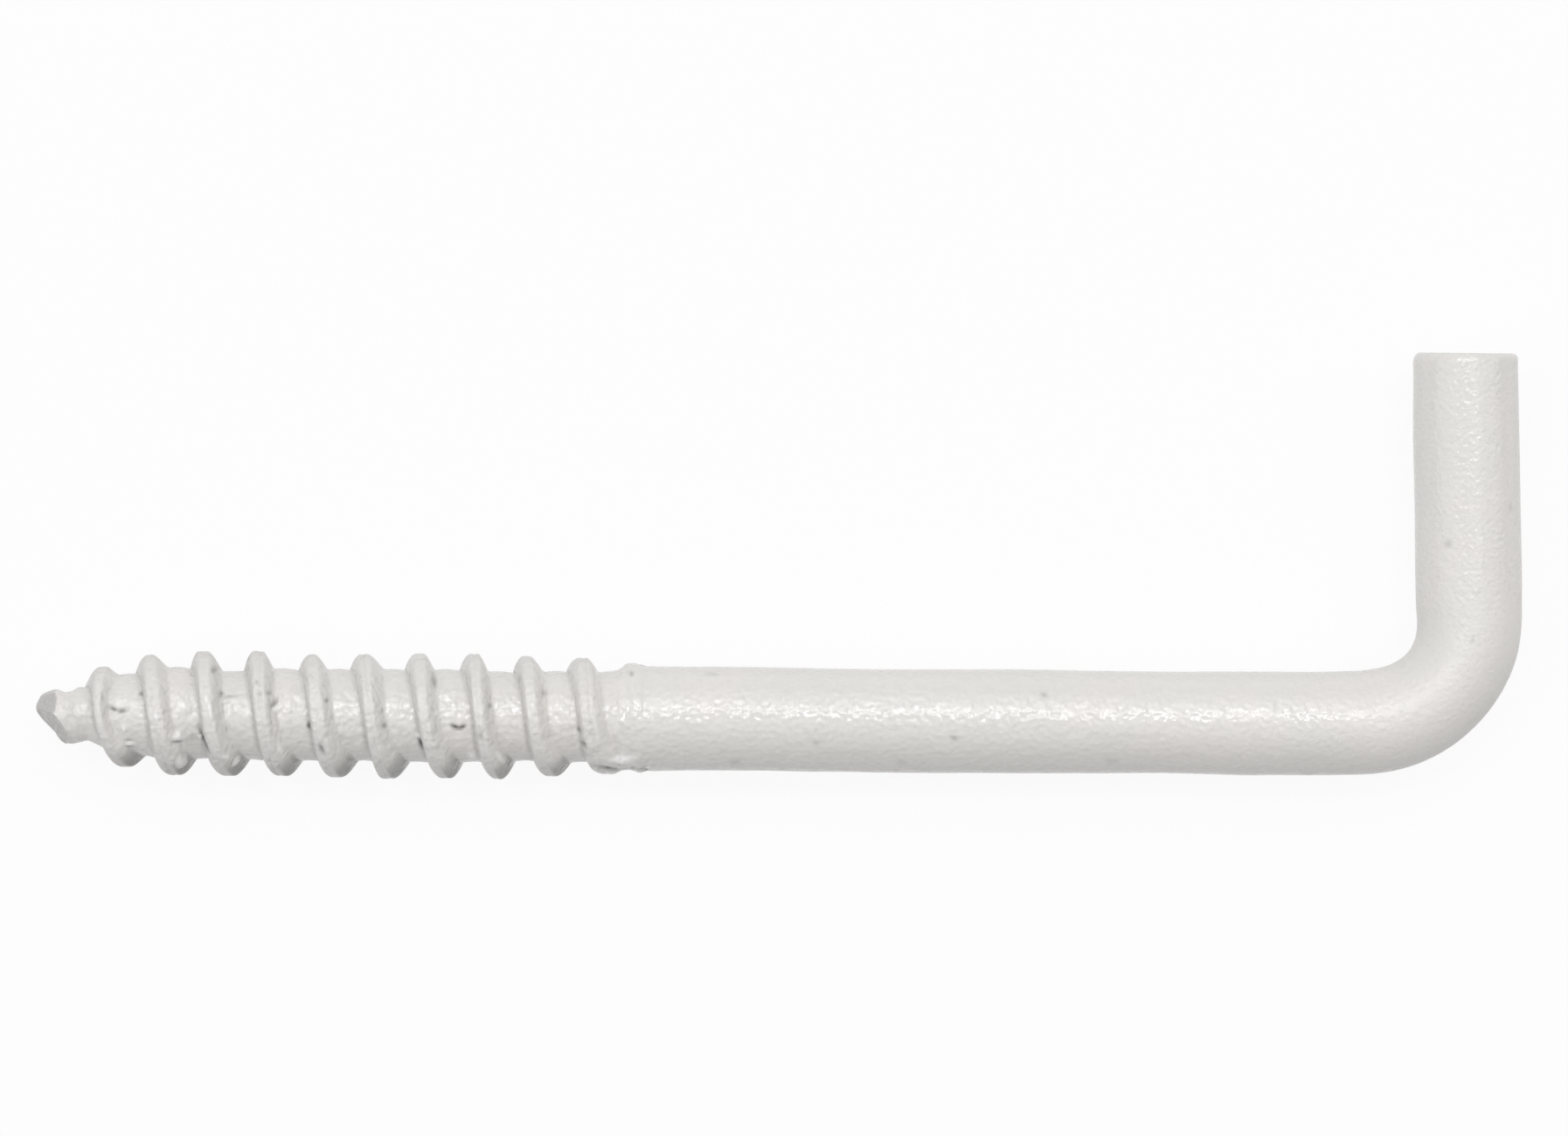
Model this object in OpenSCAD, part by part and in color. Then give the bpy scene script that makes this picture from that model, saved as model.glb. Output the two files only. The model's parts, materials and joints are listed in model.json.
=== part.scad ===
// Square screw hook, also called an L-hook: one length of steel wire with a wood-screw thread on
// one end and the other end bent up square, painted all over.
//
// Millimetres. The screw's axis is X and points from the thread to the arm, the arm stands
// towards +Y, and the hook lies flat with +Z up. The origin is on the screw's axis where the
// thread ends and the plain shank begins: the face of the wall once the hook is screwed home.

/* [Wire] */
// Diameter of the painted wire
wire_d = 4.24; // [3.9:0.02:4.8]
// Plain shank, from the end of the thread to the centre line of the arm
shank_l = 33.2; // [15:0.1:60]

/* [Arm] */
// Height of the arm, from the centre line of the shank to the cut end
arm_l = 15; // [8:0.1:40]
// Angle that the wire is bent through; a little over 90 leans the arm back over the shank
bend_angle = 91.1; // [60:0.1:120]
// Radius on the inside of the bend
bend_inside_r = 2.3; // [0.8:0.05:5]
// Rounding round the cut end of the arm
end_round = 0.4; // [0.1:0.01:1.2]

/* [Thread] */
// Length of the thread, from the tip to the plain shank
thread_l = 24.7; // [12:0.1:40]
// Diameter over the crests
thread_d = 5.02; // [4.7:0.01:6.5]
// Diameter of the core between the turns
core_d = 3.76; // [2.8:0.01:3.85]
// Distance from one turn to the next
pitch = 2.185; // [1.8:0.005:4]
// Flat along the top of the ridge
crest_w = 0.42; // [0.1:0.01:0.8]
// Width of the ridge's flank on the side of the tip
front_flank_w = 0.31; // [0.15:0.01:0.6]
// Width of the ridge's flank on the side of the hook
back_flank_w = 0.58; // [0.15:0.01:0.7]
// Where the first crest stands on the side of the arm, in turns from the tip
thread_phase = 0.07; // [0:0.01:1]

/* [Tip] */
// Length over which the core narrows to the tip
point_l = 4.7; // [3:0.1:9]
// Diameter that the core narrows to
point_d = 1.1; // [0.8:0.02:2.4]
// Length over which the ridge grows to its full height
ridge_rise_l = 3.2; // [1.2:0.1:6]
// Height of the ridge at the very tip, as a share of its full height
ridge_start = 0.05; // [0:0.01:0.6]
// Length of the rounding on the blunt nose
nose_l = 0.85; // [0.2:0.05:1.5]
// How far the nose sits off the axis, towards the side of the arm
nose_offset = 0.34; // [0:0.01:0.4]

/* [Run-out] */
// Length over which the ridge sinks towards the plain shank
runout_l = 5.1; // [2:0.1:8]
// Length of the raised collar that rolling the thread leaves at its end
collar_l = 0.8; // [0.4:0.05:2]
// Height of the collar over the plain shank
collar_h = 0.14; // [0.02:0.01:0.4]
// Length of the slope from the core up to the collar
collar_slope_l = 0.65; // [0.2:0.05:1.5]

/* [Hidden] */

paint_white = [0.87, 0.86, 0.84];

wire_r = wire_d / 2;
core_r = core_d / 2;
point_r = point_d / 2;
collar_r = wire_r + collar_h;
ridge_h = thread_d / 2 - core_r;
bend_r = bend_inside_r + wire_r;

// The arm's line meets the shank's at this corner, and the bend takes this much off each.
bend_setback = bend_r * tan(bend_angle / 2);
tip_x = -thread_l;

// Steps round one turn of the helix, round the small arc on the arm's end, and round the wire.
TURN_STEPS = 36;
ROUND_STEPS = 6;
WIRE_FACETS = 72;

// How far the thread's own surface stays under the shank that swallows its end.
BURIED = 0.1;

// How far the bend runs into each straight, and how much slimmer its wire is there.
SEAT_ANGLE = 1;
SEAT_GAP = 0.004;

// One turn of the ridge across its width: [distance along the axis, share of the ridge's height].
RIDGE = [
    [0, 0],
    [front_flank_w * 0.4, 0.32],
    [front_flank_w * 0.75, 0.86],
    [front_flank_w, 1],
    [front_flank_w + crest_w, 1],
    [front_flank_w + crest_w + back_flank_w * 0.35, 0.8],
    [front_flank_w + crest_w + back_flank_w * 0.7, 0.24],
    [front_flank_w + crest_w + back_flank_w, 0],
];
RIDGE_STEPS = len(RIDGE);
CREST_MIDDLE = front_flank_w + crest_w / 2;

// Steps are counted from a start that lies ahead of the tip, where nose_squeeze() gathers them.
LEAD_TURNS = 2;
STRIP_STEPS = ceil((thread_l / pitch + LEAD_TURNS) * TURN_STEPS);

// Distance from the tip, with everything ahead of the nose's rounding gathered into it.
function nose_squeeze(s) = s > nose_l ? s : nose_l * nose_l / (2 * nose_l - s);

// Share of its full radius that the thread has at a distance s from the tip.
function nose_rounding(s) = s < nose_l ? sqrt(1 - pow(1 - s / nose_l, 2)) : 1;

// How far the section at a distance s from the tip sits off the axis.
function nose_shift(s) = nose_offset * pow(max(1 - s / (2 * nose_l), 0), 2);

// Radius of the core at a distance s from the tip: a cone, then a cylinder that narrows again
// where the plain shank covers it.
function core_radius(s) =
    lookup(s, [
        [0, point_r],
        [point_l, core_r],
        [thread_l - collar_l, core_r],
        [thread_l, core_r - BURIED],
    ]);

// Height of the ridge over the core at a distance s from the tip.
function ridge_height(s) =
    lookup(s, [
        [0, ridge_h * ridge_start],
        [ridge_rise_l, ridge_h],
        [thread_l - runout_l, ridge_h],
        [thread_l - collar_l, collar_r - core_r - BURIED / 2],
        [thread_l - collar_l / 2, 0],
    ]);

// Point on the thread's surface: step i along the helix, station j across the ridge. Angles run
// from +Y towards +Z, so that the thread is right-handed.
function thread_point(i, j) =
    let (
        turns = i / TURN_STEPS,
        s = nose_squeeze((turns - LEAD_TURNS) * pitch + RIDGE[j][0] - CREST_MIDDLE),
        r = nose_rounding(s) * (core_radius(s) + RIDGE[j][1] * ridge_height(s)),
        angle = 360 * (turns - thread_phase)
    )
    [tip_x + s, nose_shift(s) + r * cos(angle), r * sin(angle)];

// Stations run on into the next turn: the last one's neighbour is the first, a turn later.
function thread_index(i, j) =
    j < RIDGE_STEPS ? i * RIDGE_STEPS + j : thread_index(i + TURN_STEPS, j - RIDGE_STEPS);

// Threaded end: one strip wound round the axis, closed by a fan at the tip and by another inside
// the plain shank.
module thread() {
    rows = STRIP_STEPS + TURN_STEPS;
    points = [for (i = [0 : rows]) for (j = [0 : RIDGE_STEPS - 1]) thread_point(i, j)];
    strip = [
        for (i = [0 : STRIP_STEPS - 1])
            for (j = [0 : RIDGE_STEPS - 1])
                let (
                    a = thread_index(i, j),
                    b = thread_index(i + 1, j),
                    c = thread_index(i + 1, j + 1),
                    d = thread_index(i, j + 1)
                )
                each [[a, c, b], [a, d, c]]
    ];
    tip_loop = [
        for (i = [0 : TURN_STEPS]) thread_index(i, 0),
        for (j = [RIDGE_STEPS - 1 : -1 : 1]) thread_index(0, j),
    ];
    shank_loop = [
        for (i = [TURN_STEPS : -1 : 0]) thread_index(STRIP_STEPS + i, 0),
        for (j = [1 : RIDGE_STEPS - 1]) thread_index(STRIP_STEPS, j),
    ];
    tip = len(points);
    core_end = tip + 1;
    polyhedron(
        points = concat(points, [[tip_x, nose_offset, 0], [2 * pitch, 0, 0]]),
        faces = concat(strip, fan(tip_loop, tip), fan(shank_loop, core_end))
    );
}

// Triangles from each edge of a closed loop to one point.
function fan(loop, point) = [
    for (k = [0 : len(loop) - 1]) [point, loop[k], loop[(k + 1) % len(loop)]]
];

// Turns an outline of [radius, distance] points about Y, with the distance along Y.
module turn_about_y(outline) {
    rotate([-90, 0, 0]) rotate_extrude($fn = WIRE_FACETS) polygon(outline);
}

// Plain shank, with the collar where the thread stops.
module shank() {
    rotate([0, 0, -90])
        turn_about_y([
            [0, -collar_l - collar_slope_l],
            [core_r - BURIED, -collar_l - collar_slope_l],
            [collar_r, -collar_l],
            [collar_r, -collar_l / 2],
            [wire_r, 0],
            [wire_r, shank_l - bend_setback],
            [0, shank_l - bend_setback],
        ]);
}

// Turns its children about the centre of the bend, from the shank's end towards the arm.
module round_bend(angle) {
    translate([shank_l - bend_setback, bend_r, 0]) rotate([0, 0, angle - 90]) children();
}

// The wire's sweep round the corner, a hair thinner so that both its ends sit inside the straights.
module bend() {
    round_bend(-SEAT_ANGLE)
        rotate_extrude(angle = bend_angle + 2 * SEAT_ANGLE, $fn = 96)
            translate([bend_r, 0]) circle(r = wire_r - SEAT_GAP, $fn = WIRE_FACETS);
}

// Straight arm, from the end of the bend to its rounded cut end.
module arm() {
    straight_l = arm_l - bend_setback;
    round_bend(bend_angle)
        translate([bend_r, 0, 0])
            turn_about_y([
                [0, 0],
                [wire_r, 0],
                for (k = [0 : ROUND_STEPS])
                    let (a = 90 * k / ROUND_STEPS)
                    [wire_r - end_round * (1 - cos(a)), straight_l - end_round * (1 - sin(a))],
                [0, straight_l],
            ]);
}

module screw_hook() {
    color(paint_white) {
        thread();
        shank();
        bend();
        arm();
    }
}

screw_hook();
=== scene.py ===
"""Looks for the square screw hook: one painted wire with a rolled thread and a square bend.

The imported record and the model's box give the lengths of thread, shank, bend and arm. The piece
made here follows them and adds what the solid leaves out: the paint's soft edges, the uneven turns
of a rolled thread, the lopsided nose, the wire thinned inside the bend, and the pits and runs in
the paint.
"""

import json
import math

import bpy
import numpy as np
from mathutils import Euler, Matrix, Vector


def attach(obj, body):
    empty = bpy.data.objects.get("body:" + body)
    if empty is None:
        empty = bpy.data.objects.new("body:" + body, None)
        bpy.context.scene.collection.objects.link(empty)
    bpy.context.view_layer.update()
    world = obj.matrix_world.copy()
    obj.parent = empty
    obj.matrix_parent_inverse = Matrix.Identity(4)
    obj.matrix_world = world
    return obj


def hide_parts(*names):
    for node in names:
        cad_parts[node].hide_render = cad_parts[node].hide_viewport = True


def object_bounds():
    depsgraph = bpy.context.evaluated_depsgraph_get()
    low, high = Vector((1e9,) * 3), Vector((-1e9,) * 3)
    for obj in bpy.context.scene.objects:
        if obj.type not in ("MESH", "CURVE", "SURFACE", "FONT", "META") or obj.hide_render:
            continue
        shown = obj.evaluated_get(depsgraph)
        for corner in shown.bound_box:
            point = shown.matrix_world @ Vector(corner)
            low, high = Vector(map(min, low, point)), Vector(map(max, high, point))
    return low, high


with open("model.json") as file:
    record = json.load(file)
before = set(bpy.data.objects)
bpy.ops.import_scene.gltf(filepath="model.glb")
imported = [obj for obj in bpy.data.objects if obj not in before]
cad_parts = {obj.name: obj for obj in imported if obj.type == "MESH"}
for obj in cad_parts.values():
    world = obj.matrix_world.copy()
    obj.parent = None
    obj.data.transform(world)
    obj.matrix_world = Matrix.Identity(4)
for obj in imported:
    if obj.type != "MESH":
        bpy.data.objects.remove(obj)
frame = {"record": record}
cad_low, cad_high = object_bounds()

MM = 0.001
NODE = "screw_hook"


# --------------------------------------------------------------------------------- camera

SENSOR = 36.0
CAMERA_HEIGHT = 200.0 * MM
VIEW_WIDTH = 63.24 * MM
CAMERA_ROLL = math.radians(0.4389)
AIM_OFFSET = Vector((0.222, -0.159, 0.0)) * MM
CLIP_START, CLIP_END = 0.01, 10.0


def make_camera():
    """Looks straight down on the hook, with its thread to the left and its arm up."""
    data = bpy.data.cameras.new("camera")
    data.sensor_width = SENSOR
    data.lens = SENSOR * CAMERA_HEIGHT / VIEW_WIDTH
    data.clip_start = CLIP_START
    data.clip_end = CLIP_END
    camera = bpy.data.objects.new("camera", data)
    bpy.context.scene.collection.objects.link(camera)
    centre = (cad_low + cad_high) / 2
    camera.location = Vector((centre.x, centre.y, CAMERA_HEIGHT)) + AIM_OFFSET
    camera.rotation_euler = Euler((0.0, 0.0, CAMERA_ROLL))
    bpy.context.scene.camera = camera


make_camera()


# --------------------------------------------------------------------- sizes, in millimetres

# The mount on the arm covers its straight, up to the rounding round the solid's cut end.
ARM = next(m for m in frame["record"]["mounts"] if m["name"] == "hook_arm")
WIRE_R = ARM["dims"]["r_mm"]
ARM_REACH = ARM["dims"]["length_mm"] / 2
CAD_END_ROUND = 0.4

BEND_ANGLE = math.atan2(ARM["axis"][1], ARM["axis"][0])
CORNER_TO_MIDDLE = ARM["pos_m"][1] / MM / ARM["axis"][1]
SHANK_L = ARM["pos_m"][0] / MM - CORNER_TO_MIDDLE * ARM["axis"][0]
BEND_SETBACK = CORNER_TO_MIDDLE - ARM_REACH
BEND_R = BEND_SETBACK / math.tan(BEND_ANGLE / 2)
ARM_STRAIGHT = 2 * ARM_REACH + CAD_END_ROUND

# Distances along the wire's own line, from the tip.
THREAD_L = -cad_low.x / MM
SHANK_END = THREAD_L + SHANK_L - BEND_SETBACK
BEND_END = SHANK_END + BEND_R * BEND_ANGLE
WIRE_END = BEND_END + ARM_STRAIGHT

# Pitch of the solid's thread, and the turns from the tip to where a crest faces the arm's side.
PITCH = 2.185
THREAD_PHASE = 0.07


# ------------------------------------------------------------------------- small helpers

def curve(x, table):
    """Smooth curve through a table of (place, value) rows, level beyond both ends."""
    at = np.array([row[0] for row in table], float)
    value = np.array([row[1] for row in table], float)
    slope = np.zeros(len(at))
    slope[1:-1] = (value[2:] - value[:-2]) / (at[2:] - at[:-2])
    x = np.clip(x, at[0], at[-1])
    i = np.clip(np.searchsorted(at, x, side="right") - 1, 0, len(at) - 2)
    gap = at[i + 1] - at[i]
    t = (x - at[i]) / gap
    return (
        value[i] * (1 + 2 * t) * (1 - t) ** 2
        + slope[i] * gap * t * (1 - t) ** 2
        + value[i + 1] * t * t * (3 - 2 * t)
        + slope[i + 1] * gap * t * t * (t - 1)
    )


def grow(x, start, end):
    """Smooth step from 0 at start to 1 at end."""
    t = np.clip((x - start) / (end - start), 0, 1)
    return t * t * (3 - 2 * t)


def soft_max(a, b, width):
    """The larger of two, with the corner between them rounded over that width."""
    t = np.clip(0.5 + (a - b) / (2 * width), 0, 1)
    return b + (a - b) * t + width * t * (1 - t)


# Cells along each side of the noise's lattice, which repeats after them.
LATTICE_SIDE = 32


def lump_noise(points, cell, seed):
    """Smooth lumps from -1 to 1, about one cell across, at n x 3 points."""
    side = LATTICE_SIDE
    lattice = np.random.default_rng(seed).uniform(-1, 1, (side, side, side))
    at = points / cell
    low = np.floor(at).astype(int)
    t = at - low
    t = t * t * (3 - 2 * t)
    total = np.zeros(len(points))
    for i in (0, 1):
        for j in (0, 1):
            for k in (0, 1):
                weight = (
                    (t[:, 0] if i else 1 - t[:, 0])
                    * (t[:, 1] if j else 1 - t[:, 1])
                    * (t[:, 2] if k else 1 - t[:, 2])
                )
                total += weight * lattice[
                    (low[:, 0] + i) % side, (low[:, 1] + j) % side, (low[:, 2] + k) % side
                ]
    return total


# ------------------------------------------------------------------------------ the thread
#
# Lengths are in millimetres. Angles round the wire are counted from the side of the arm, towards
# the top of the hook as it lies.

# Radius of the core between the turns, at a distance from the tip: a blunt cap with a waist
# behind it, then the cone.
CORE = [
    (0, 0.0), (0.03, 0.12), (0.08, 0.24), (0.14, 0.36), (0.21, 0.475), (0.28, 0.54),
    (0.42, 0.65), (0.56, 0.74), (0.71, 0.84), (0.86, 0.89), (1, 0.92), (1.16, 0.834),
    (1.3, 0.867), (1.5, 0.927), (1.8, 1.086), (2.2, 1.078), (2.4, 1.164), (3.49, 1.608),
    (4.58, 1.675), (5.68, 1.945), (6.77, 1.763), (7.86, 1.753), (8.96, 1.795), (10.05, 1.917),
    (11.14, 1.8), (12.23, 1.909), (13.33, 1.802), (14.42, 1.909), (15.51, 1.813), (16.6, 1.931),
    (17.7, 1.814), (18.79, 1.853), (19.88, 1.738), (20.97, 1.892), (22.06, 1.778),
    (23.16, 1.896), (24, 1.944), (24.7, 1.766),
]

# How far the nose sits off the axis, towards the side of the arm.
NOSE_SHIFT = [
    (0, 0.27), (0.14, 0.255), (0.28, 0.235), (0.42, 0.205), (0.56, 0.18), (0.71, 0.12),
    (0.88, 0.05), (1.05, 0.02), (1.3, 0.01), (1.7, 0),
]

# How far it sits above the axis as the hook lies.
NOSE_DROP = [(0, -0.42), (0.3, -0.3), (0.6, -0.17), (0.9, -0.07), (1.3, 0)]

# Radius over the crest, by turns of the ridge from the tip.
CREST_R = [
    (-0.5, 0.5), (-0.25, 0.8), (0, 0.94), (0.25, 1.06), (0.5, 1.203), (1, 1.919), (1.5, 2.128),
    (2, 2.43), (2.5, 2.439), (3, 2.561), (3.5, 2.442), (4, 2.6), (4.5, 2.433), (5, 2.49),
    (5.5, 2.488), (6, 2.511), (6.5, 2.51), (7, 2.529), (7.5, 2.49), (8, 2.564), (8.5, 2.512),
    (9, 2.487), (9.5, 2.365), (10, 2.427), (10.5, 2.275), (11, 2.229), (11.5, 1.977),
]

# How far the crest strays along the axis from an even helix, by turns of the ridge.
CREST_WANDER = [
    (-0.5, 0.75), (0, 0.6), (0.25, 0.27), (0.5, 0.02), (1, 0.442), (1.25, -0.02), (1.5, 0.298),
    (1.75, -0.05), (2, 0.137), (2.25, 0.11), (2.5, 0.143), (2.75, -0.05), (3, 0.078),
    (3.25, 0.03), (3.5, 0.129), (3.75, -0.05), (4, 0.124), (4.25, -0.035), (4.5, 0.092),
    (4.75, -0.05), (5, 0.119), (5.25, 0.02), (5.5, 0.064), (5.75, -0.05), (6, 0.031),
    (6.25, -0.06), (6.5, -0.055), (6.75, -0.05), (7, 0.084), (7.25, -0.1), (7.5, 0.133),
    (7.75, -0.05), (8, 0.094), (8.25, -0.07), (8.5, 0.054), (8.75, -0.05), (9, 0.011),
    (9.25, -0.14), (9.5, 0.02), (9.75, -0.05), (10, 0.093), (10.25, -0.1), (10.5, 0.087),
    (10.75, -0.05), (11, -0.089), (11.25, -0.3), (11.5, -0.202),
]

# Turns over which the ridge rises at the tip and over which it sinks at the shank.
RIDGE_RISE, RIDGE_SINK = (-0.6, -0.1), (11.2, 11.9)

# Width of the flat along the crest, and of the flanks towards the tip and towards the hook.
CREST_WIDTH = [
    (0, 0.2), (0.5, 0.285), (1, 0.254), (1.25, 0.18), (1.5, 0.234), (1.75, 0.34), (2, 0.164),
    (2.25, 0.46), (2.5, 0.279), (2.75, 0.34), (3, 0.395), (3.25, 0.36), (3.5, 0.347),
    (3.75, 0.34), (4, 0.336), (4.25, 0.35), (4.5, 0.328), (4.75, 0.34), (5, 0.191),
    (5.25, 0.41), (5.5, 0.324), (5.75, 0.34), (6, 0.26), (6.25, 0.3), (6.5, 0.38), (6.75, 0.34),
    (7, 0.311), (7.25, 0.3), (7.5, 0.305), (7.75, 0.34), (8, 0.269), (8.25, 0.27), (8.5, 0.155),
    (8.75, 0.34), (9, 0.267), (9.25, 0.32), (9.5, 0.312), (9.75, 0.34), (10, 0.282),
    (10.25, 0.48), (10.5, 0.299), (10.75, 0.34), (11, 0.194), (11.25, 0.25), (11.5, 0.24),
]
FRONT_FLANK = [
    (0, 0.4), (0.5, 0.413), (1, 0.508), (1.25, 0.19), (1.5, 0.489), (1.75, 0.21), (2, 0.457),
    (2.25, 0.19), (2.5, 0.514), (2.75, 0.21), (3, 0.258), (3.25, 0.19), (3.5, 0.531),
    (3.75, 0.21), (4, 0.362), (4.25, 0.19), (4.5, 0.374), (4.75, 0.21), (5, 0.389),
    (5.25, 0.19), (5.5, 0.377), (5.75, 0.21), (6, 0.391), (6.25, 0.19), (6.5, 0.178),
    (6.75, 0.21), (7, 0.405), (7.25, 0.2), (7.5, 0.405), (7.75, 0.21), (8, 0.383), (8.25, 0.19),
    (8.5, 0.496), (8.75, 0.21), (9, 0.332), (9.25, 0.19), (9.5, 0.438), (9.75, 0.21),
    (10, 0.458), (10.25, 0.2), (10.5, 0.599), (10.75, 0.21), (11, 0.306), (11.25, 0.22),
    (11.5, 0.36),
]
BACK_FLANK = [
    (0, 0.5), (0.5, 0.632), (1, 0.539), (1.25, 0.3), (1.5, 0.663), (1.75, 0.5), (2, 0.693),
    (2.25, 0.4), (2.5, 0.636), (2.75, 0.5), (3, 0.631), (3.25, 0.42), (3.5, 0.584), (3.75, 0.5),
    (4, 0.493), (4.25, 0.44), (4.5, 0.564), (4.75, 0.5), (5, 0.558), (5.25, 0.46), (5.5, 0.677),
    (5.75, 0.5), (6, 0.712), (6.25, 0.47), (6.5, 0.659), (6.75, 0.5), (7, 0.469), (7.25, 0.48),
    (7.5, 0.444), (7.75, 0.5), (8, 0.452), (8.25, 0.47), (8.5, 0.517), (8.75, 0.5), (9, 0.609),
    (9.25, 0.5), (9.5, 0.57), (9.75, 0.5), (10, 0.524), (10.25, 0.48), (10.5, 0.691),
    (10.75, 0.5), (11, 0.613), (11.25, 0.5), (11.5, 0.62),
]

# The flank towards the tip is rounded, as rounded as an ellipse at 2. The flank towards the hook
# is rounded at its top and runs out hollow at its foot. Where they meet the core the paint fills
# the corner over this width.
FLANK_ROUND = 1.7
BACK_TOP, BACK_FOOT = 1.6, 1.35
FOOT_SOFTNESS = 0.03

# Rolling leaves a shallow seam along the crest: its depth, its half width and how far it wanders.
# Then how fast it wanders and how fast it comes and goes, in radians a turn, and how much of it
# shows on average.
SEAM_DEPTH, SEAM_WIDTH, SEAM_WANDER = 0.04, 0.055, 0.1
SEAM_WAVES, SEAM_BREAKS, SEAM_SHARE = 5.1, 3.3, 0.5

# The nose is cut slantwise by flats. Each goes through a point, given by its distance from the
# tip, its place towards the arm and its height; then comes the way that the flat faces. They reach
# no further than NOSE_L from the tip. A line out from the wire's middle that meets a flat at less
# than the least slope passes it by, and MISSED stands for its radius there.
NOSE_FLATS = [
    (0.73, 0.06, 0.74, -0.702, -0.584, 0.407),
    (0.73, 0.06, 0.74, -0.736, 0.378, 0.561),
    (0.50, 0.76, 0.00, -0.480, 0.860, 0.170),
]
NOSE_L = 1.7
NOSE_EDGE_SOFTNESS = 0.03
LEAST_SLOPE, MISSED = 0.05, 9.0

# How dark the shade painted on the flats is, where they face away from the light, and from which
# depth of cut in full.
NOSE_SHADE_STRENGTH, NOSE_SHADE_DEPTH = 0.4, 0.05


def thread_radius(s, angle):
    """Radius of core and ridge at a distance from the tip and an angle round the wire."""
    core = curve(s, CORE)
    turn = angle / (2 * math.pi)
    nearest = np.round(s / PITCH - THREAD_PHASE - turn)
    radius = core
    for step in (-1, 0, 1):
        crest = nearest + step + turn
        place = (crest + THREAD_PHASE) * PITCH + curve(crest, CREST_WANDER)
        height = np.maximum(curve(crest, CREST_R) - core, 0)
        height = height * grow(crest, *RIDGE_RISE) * (1 - grow(crest, *RIDGE_SINK))
        half = curve(crest, CREST_WIDTH) / 2
        front = np.maximum(place - half - s, 0) / curve(crest, FRONT_FLANK)
        back = np.maximum(s - place - half, 0) / curve(crest, BACK_FLANK)
        share = np.minimum(
            np.maximum(1 - front**FLANK_ROUND, 0) ** (1 / FLANK_ROUND),
            np.maximum(1 - back**BACK_TOP, 0) ** BACK_FOOT,
        )
        off_seam = (s - place - SEAM_WANDER * np.sin(SEAM_WAVES * crest)) / SEAM_WIDTH
        shown = np.clip(SEAM_SHARE + np.sin(SEAM_BREAKS * crest), 0, 1)
        seam = SEAM_DEPTH * np.exp(-(off_seam**2)) * shown
        ridge = core + height * share - seam * share - FOOT_SOFTNESS * (share == 0)
        radius = soft_max(radius, ridge, FOOT_SOFTNESS)
    return radius


def nose_flats(s, angle, radius):
    """Radius with the nose's slanting flats cut in."""
    shift, drop = curve(s, NOSE_SHIFT), curve(s, NOSE_DROP)
    for at_s, at_y, at_z, nx, ny, nz in NOSE_FLATS:
        reach = nx * (at_s - s) + ny * (at_y - shift) + nz * (at_z - drop)
        slope = ny * np.cos(angle) + nz * np.sin(angle)
        flat = np.where(slope > LEAST_SLOPE, reach / np.maximum(slope, LEAST_SLOPE), MISSED)
        radius = -soft_max(-radius, -np.maximum(flat, 0.0), NOSE_EDGE_SOFTNESS)
    return radius


def nose_shade(s, angle):
    """Painted shade on the nose's flats."""
    whole = thread_radius(s, angle)
    cut = (whole - nose_flats(s, angle, whole)) / NOSE_SHADE_DEPTH
    return np.where(s < NOSE_L, NOSE_SHADE_STRENGTH * np.clip(cut, 0, 1), 0)


# ----------------------------------------------------------------------- the whole wire
#
# Here and in the tables, places past the thread are counted from its end.

# Radius of the raised collar that ends the thread. It is joined to the thread's own skin over this
# width, from this place on.
COLLAR = [
    (-1.7, 1.7), (-1.45, 1.803), (-1.2, 1.939), (-0.95, 2.101), (-0.75, 2.103), (-0.5, 2.132),
    (-0.25, 2.203), (0, 2.127), (0.2, 2.124), (0.6, 2.12),
]
COLLAR_SOFTNESS = 0.06
COLLAR_START = -1.6

# The same where the collar faces up: the paint has run into a gentle slope, to COLLAR_TOP_END.
COLLAR_TOP = [
    (-2.1, 1.72), (-1.6, 1.86), (-1.1, 1.985), (-0.6, 2.06), (-0.1, 2.095), (0.3, 2.1),
]
COLLAR_TOP_END = 0.3

# Length that the collar takes from the thread, where ridge, creases and the painted flank shade
# aren't looked for.
COLLAR_LENGTH = 2.0

# Radius of the plain wire on its side towards the crook, and on its outside. The wire is thinned
# inside the bend. On top and underneath its radius is MIDDLE_R, and in between a power of the
# cosine says how much of the side's own radius shows.
INNER_R = [
    (0.1, 2.098), (1.7, 2.1), (3.3, 2.109), (4.9, 2.099), (6.5, 2.079), (8.1, 2.062),
    (9.7, 2.065), (11.3, 2.073), (12.9, 2.081), (14.5, 2.091), (16.1, 2.084), (17.7, 2.059),
    (19.3, 2.053), (20.9, 2.053), (22.5, 2.062), (24.1, 2.076), (25.7, 2.084), (27.3, 2.098),
    (28.9, 2.147), (29.7, 2.149), (30.5, 2.095), (31.3, 2.021), (32.1, 1.952), (32.9, 1.914),
    (33.7, 1.929), (34.5, 1.992), (35.3, 2.049), (36.1, 2.098), (37.7, 2.119), (39.3, 2.114),
    (40.9, 2.132), (42.5, 2.147), (44.1, 2.135), (45.7, 2.12),
]
OUTER_R = [
    (0.1, 2.129), (1.7, 2.091), (3.3, 2.083), (4.9, 2.081), (6.5, 2.104), (8.1, 2.1),
    (9.7, 2.118), (11.3, 2.121), (12.9, 2.112), (14.5, 2.108), (16.1, 2.101), (17.7, 2.088),
    (19.3, 2.07), (20.9, 2.044), (22.5, 2.071), (24.1, 2.107), (25.7, 2.096), (27.3, 2.095),
    (28.9, 2.044), (29.7, 2.042), (30.5, 2.059), (31.3, 2.065), (32.1, 2.075), (32.9, 2.099),
    (33.7, 2.125), (34.5, 2.144), (35.3, 2.123), (36.1, 2.13), (37.7, 2.15), (39.3, 2.13),
    (40.9, 2.122), (42.5, 2.121), (44.1, 2.107), (45.7, 2.085),
]
MIDDLE_R = 2.1
SIDE_POWER = 1.5


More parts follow.
